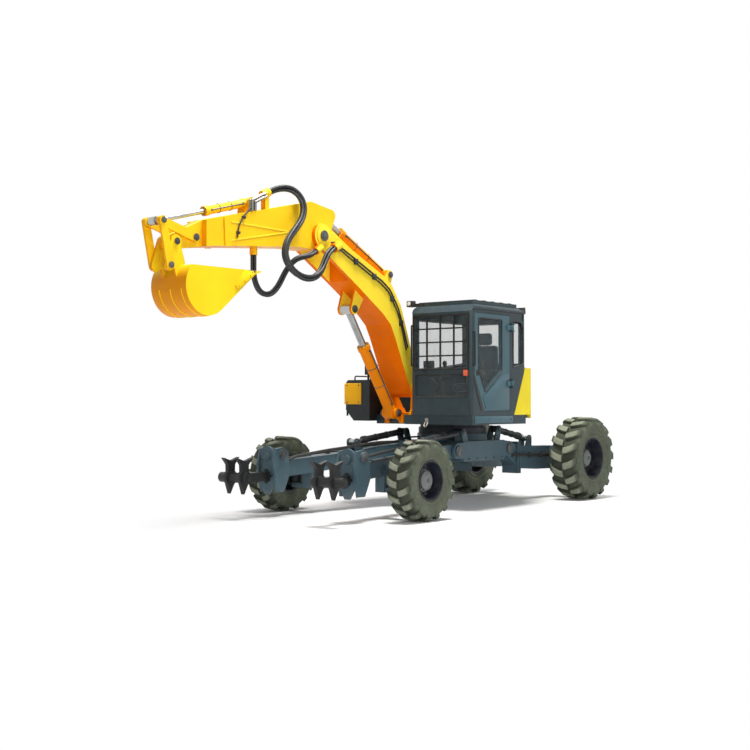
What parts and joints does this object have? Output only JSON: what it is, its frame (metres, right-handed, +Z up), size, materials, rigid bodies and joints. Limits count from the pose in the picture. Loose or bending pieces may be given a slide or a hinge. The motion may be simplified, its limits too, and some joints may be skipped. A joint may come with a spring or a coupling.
{
  "type": "walking excavator",
  "caption": "Walking excavator on wheeled legs with claw feet, a slewing house with cab and tail, a bent boom, an arm and a curled bucket.",
  "frame": {"origin": "on the ground under the middle of the overall length, on the centre line of the wheels", "axes": "+X forward towards the bucket, +Y to the left, +Z up"},
  "size_m": [8.172, 2.81, 4.325],
  "materials": {
    "orange": "gloss",
    "yellow": "gloss",
    "slate": "satin",
    "cabgrey": "satin",
    "black": "satin",
    "dark_steel": "satin",
    "chrome": "polished",
    "rim": "satin",
    "tyre": "dusty",
    "glass": "clear",
    "hose": "matt",
    "amber": "clear",
    "trim": "matt",
    "pipe": "satin",
    "seat": "matt"
  },
  "bodies": {
    "base": {"chassis_frame": "slate", "slew_ring": "dark_steel", "tow_lug": "slate"},
    "house": {"swing_deck": "cabgrey", "boom_mast": "orange", "engine_block": "dark_steel", "engine_hood": "cabgrey", "counterweight": "yellow", "tank": "cabgrey", "tank_cover": "yellow", "cab_frame": "cabgrey", "cab_glass": "glass", "window_guard": "black", "operator_seat": "seat", "control_consoles": "trim", "work_lamps": "trim", "marker_lamp": "amber", "handrails": "black"},
    "door": {"cab_door": "cabgrey", "door_glass": "glass"},
    "boom": {"boom": "orange", "hose_upper": "hose", "hose_lower": "hose"},
    "boom_barrel": {"boom_barrel": "orange"},
    "boom_rod": {"boom_rod": "chrome"},
    "arm": {"arm": "orange", "arm_pipes": "pipe"},
    "arm_barrel": {"arm_barrel": "orange"},
    "arm_rod": {"arm_rod": "chrome"},
    "bucket": {"bucket": "yellow"},
    "rocker": {"rocker": "orange"},
    "bucket_link": {"bucket_link": "orange"},
    "bucket_barrel": {"bucket_barrel": "orange"},
    "bucket_rod": {"bucket_rod": "chrome"},
    "front_left_leg": {"front_leg_left": "slate", "claw_left": "black"},
    "front_left_barrel": {"front_barrel_left": "dark_steel"},
    "front_left_rod": {"front_rod_left": "chrome"},
    "front_left_knuckle": {"front_knuckle_left": "dark_steel"},
    "front_left_wheel": {"front_rim_left": "rim", "front_tyre_left": "tyre"},
    "front_right_leg": {"front_leg_right": "slate", "claw_right": "black"},
    "front_right_barrel": {"front_barrel_right": "dark_steel"},
    "front_right_rod": {"front_rod_right": "chrome"},
    "front_right_knuckle": {"front_knuckle_right": "dark_steel"},
    "front_right_wheel": {"front_rim_right": "rim", "front_tyre_right": "tyre"},
    "rear_left_leg": {"rear_leg_left": "slate"},
    "rear_left_barrel": {"rear_barrel_left": "dark_steel"},
    "rear_left_rod": {"rear_rod_left": "chrome"},
    "rear_left_knuckle": {"rear_knuckle_left": "dark_steel"},
    "rear_left_wheel": {"rear_rim_left": "rim", "rear_tyre_left": "tyre"},
    "rear_right_leg": {"rear_leg_right": "slate"},
    "rear_right_barrel": {"rear_barrel_right": "dark_steel"},
    "rear_right_rod": {"rear_rod_right": "chrome"},
    "rear_right_knuckle": {"rear_knuckle_right": "dark_steel"},
    "rear_right_wheel": {"rear_rim_right": "rim", "rear_tyre_right": "tyre"}
  },
  "joints": [
    {"name": "slew", "type": "hinge", "parent": "base", "child": "house", "pos_m": [-1.466, 0, 1.2], "axis": [0, 0, 1], "continuous": true},
    {"name": "cab_door", "type": "hinge", "parent": "house", "child": "door", "pos_m": [-1.361, 1.13, 2], "axis": [0, 0, 1], "range_deg": [0, 155]},
    {"name": "boom_lift", "type": "hinge", "parent": "house", "child": "boom", "pos_m": [-0.716, -0.36, 1.7], "axis": [0, -1, 0], "range_deg": [-55, 20]},
    {"name": "arm_swing", "type": "hinge", "parent": "boom", "child": "arm", "pos_m": [1.314, -0.36, 3.72], "axis": [0, 1, 0], "range_deg": [-30, 80], "deforming": ["hose_upper", "hose_lower"]},
    {"name": "bucket_curl", "type": "hinge", "parent": "arm", "child": "bucket", "pos_m": [3.804, -0.36, 3.4], "axis": [0, 1, 0], "range_deg": [-140, 8]},
    {"name": "boom_barrel_swing", "type": "hinge", "parent": "house", "child": "boom_barrel", "pos_m": [-0.446, -0.36, 1.36], "axis": [0, -1, 0], "range_deg": [-56.16, 21.12]},
    {"name": "boom_rod_stroke", "type": "slide", "parent": "boom_barrel", "child": "boom_rod", "axis": [0.5626, 0, 0.8267], "range_m": [-0.3977, 0.1497]},
    {"name": "arm_barrel_swing", "type": "hinge", "parent": "boom", "child": "arm_barrel", "pos_m": [-0.266, -0.36, 3.34], "axis": [0, 1, 0], "range_deg": [-1.42, 3.67]},
    {"name": "arm_rod_stroke", "type": "slide", "parent": "arm_barrel", "child": "arm_rod", "axis": [0.8931, 0, 0.4499], "range_m": [-0.1767, 0.4561]},
    {"name": "rocker_swing", "type": "hinge", "parent": "arm", "child": "rocker", "pos_m": [3.494, -0.36, 3.48], "axis": [0, 1, 0], "range_deg": [-71.26, 5.39]},
    {"name": "link_swing", "type": "hinge", "parent": "rocker", "child": "bucket_link", "pos_m": [4.034, -0.36, 3.62], "axis": [0, 1, 0], "range_deg": [-0.23, 3]},
    {"name": "bucket_barrel_swing", "type": "hinge", "parent": "arm", "child": "bucket_barrel", "pos_m": [2.514, -0.36, 4.03], "axis": [0, 1, 0], "range_deg": [-17.42, 1.32]},
    {"name": "bucket_rod_stroke", "type": "slide", "parent": "bucket_barrel", "child": "bucket_rod", "axis": [0.9655, 0, -0.2604], "range_m": [-0.52, 0.0394]},
    {"name": "front_left_lift", "type": "hinge", "parent": "base", "child": "front_left_leg", "pos_m": [-0.746, 0.45, 0.82], "axis": [0, -1, 0], "range_deg": [-20, 16]},
    {"name": "front_left_steer", "type": "hinge", "parent": "front_left_leg", "child": "front_left_knuckle", "pos_m": [0.954, 0.93, 0.52], "axis": [0, 0, 1], "range_deg": [-20, 20]},
    {"name": "front_left_spin", "type": "hinge", "parent": "front_left_knuckle", "child": "front_left_wheel", "pos_m": [0.954, 1.21, 0.52], "axis": [0, 1, 0], "continuous": true},
    {"name": "front_left_barrel_swing", "type": "hinge", "parent": "base", "child": "front_left_barrel", "pos_m": [-0.926, 0.51, 1.08], "axis": [0, -1, 0], "range_deg": [-16.71, 13.43]},
    {"name": "front_left_rod_stroke", "type": "slide", "parent": "front_left_barrel", "child": "front_left_rod", "axis": [0.9938, 0, -0.1114], "range_m": [-0.0661, 0.0822]},
    {"name": "front_right_lift", "type": "hinge", "parent": "base", "child": "front_right_leg", "pos_m": [-0.746, -0.45, 0.82], "axis": [0, -1, 0], "range_deg": [-20, 16]},
    {"name": "front_right_steer", "type": "hinge", "parent": "front_right_leg", "child": "front_right_knuckle", "pos_m": [0.954, -0.93, 0.52], "axis": [0, 0, 1], "range_deg": [-20, 20]},
    {"name": "front_right_spin", "type": "hinge", "parent": "front_right_knuckle", "child": "front_right_wheel", "pos_m": [0.954, -1.21, 0.52], "axis": [0, 1, 0], "continuous": true},
    {"name": "front_right_barrel_swing", "type": "hinge", "parent": "base", "child": "front_right_barrel", "pos_m": [-0.926, -0.51, 1.08], "axis": [0, -1, 0], "range_deg": [-16.71, 13.43]},
    {"name": "front_right_rod_stroke", "type": "slide", "parent": "front_right_barrel", "child": "front_right_rod", "axis": [0.9938, 0, -0.1114], "range_m": [-0.0661, 0.0822]},
    {"name": "rear_left_lift", "type": "hinge", "parent": "base", "child": "rear_left_leg", "pos_m": [-2.086, 0.45, 0.82], "axis": [0, 1, 0], "range_deg": [-20, 16]},
    {"name": "rear_left_steer", "type": "hinge", "parent": "rear_left_leg", "child": "rear_left_knuckle", "pos_m": [-3.446, 0.76, 0.64], "axis": [0, 0, 1], "range_deg": [-18, 18]},
    {"name": "rear_left_spin", "type": "hinge", "parent": "rear_left_knuckle", "child": "rear_left_wheel", "pos_m": [-3.446, 1.09, 0.64], "axis": [0, 1, 0], "continuous": true},
    {"name": "rear_left_barrel_swing", "type": "hinge", "parent": "base", "child": "rear_left_barrel", "pos_m": [-1.946, 0.45, 1.11], "axis": [0, 1, 0], "range_deg": [-15.91, 12.79]},
    {"name": "rear_left_rod_stroke", "type": "slide", "parent": "rear_left_barrel", "child": "rear_left_rod", "axis": [-0.9835, 0, -0.1809], "range_m": [-0.0727, 0.0904]},
    {"name": "rear_right_lift", "type": "hinge", "parent": "base", "child": "rear_right_leg", "pos_m": [-2.086, -0.45, 0.82], "axis": [0, 1, 0], "range_deg": [-20, 16]},
    {"name": "rear_right_steer", "type": "hinge", "parent": "rear_right_leg", "child": "rear_right_knuckle", "pos_m": [-3.446, -0.76, 0.64], "axis": [0, 0, 1], "range_deg": [-18, 18]},
    {"name": "rear_right_spin", "type": "hinge", "parent": "rear_right_knuckle", "child": "rear_right_wheel", "pos_m": [-3.446, -1.09, 0.64], "axis": [0, 1, 0], "continuous": true},
    {"name": "rear_right_barrel_swing", "type": "hinge", "parent": "base", "child": "rear_right_barrel", "pos_m": [-1.946, -0.45, 1.11], "axis": [0, 1, 0], "range_deg": [-15.91, 12.79]},
    {"name": "rear_right_rod_stroke", "type": "slide", "parent": "rear_right_barrel", "child": "rear_right_rod", "axis": [-0.9835, 0, -0.1809], "range_m": [-0.0727, 0.0904]}
  ],
  "couplings": [
    {"joint": "boom_barrel_swing", "follows": "boom_lift", "ratio": 1.001},
    {"joint": "boom_rod_stroke", "follows": "boom_lift", "m_per_rad": 0.4061},
    {"joint": "arm_barrel_swing", "follows": "arm_swing", "ratio": 0.045},
    {"joint": "arm_rod_stroke", "follows": "arm_swing", "m_per_rad": 0.3202},
    {"joint": "rocker_swing", "follows": "bucket_curl", "ratio": 0.499},
    {"joint": "link_swing", "follows": "bucket_curl", "ratio": -0.021},
    {"joint": "bucket_barrel_swing", "follows": "bucket_curl", "ratio": 0.122},
    {"joint": "bucket_rod_stroke", "follows": "bucket_curl", "m_per_rad": 0.2086},
    {"joint": "front_left_barrel_swing", "follows": "front_left_lift", "ratio": 0.819},
    {"joint": "front_left_rod_stroke", "follows": "front_left_lift", "m_per_rad": -0.2306},
    {"joint": "front_right_barrel_swing", "follows": "front_right_lift", "ratio": 0.819},
    {"joint": "front_right_rod_stroke", "follows": "front_right_lift", "m_per_rad": -0.2306},
    {"joint": "rear_left_barrel_swing", "follows": "rear_left_lift", "ratio": 0.78},
    {"joint": "rear_left_rod_stroke", "follows": "rear_left_lift", "m_per_rad": -0.2536},
    {"joint": "rear_right_barrel_swing", "follows": "rear_right_lift", "ratio": 0.78},
    {"joint": "rear_right_rod_stroke", "follows": "rear_right_lift", "m_per_rad": -0.2536}
  ]
}
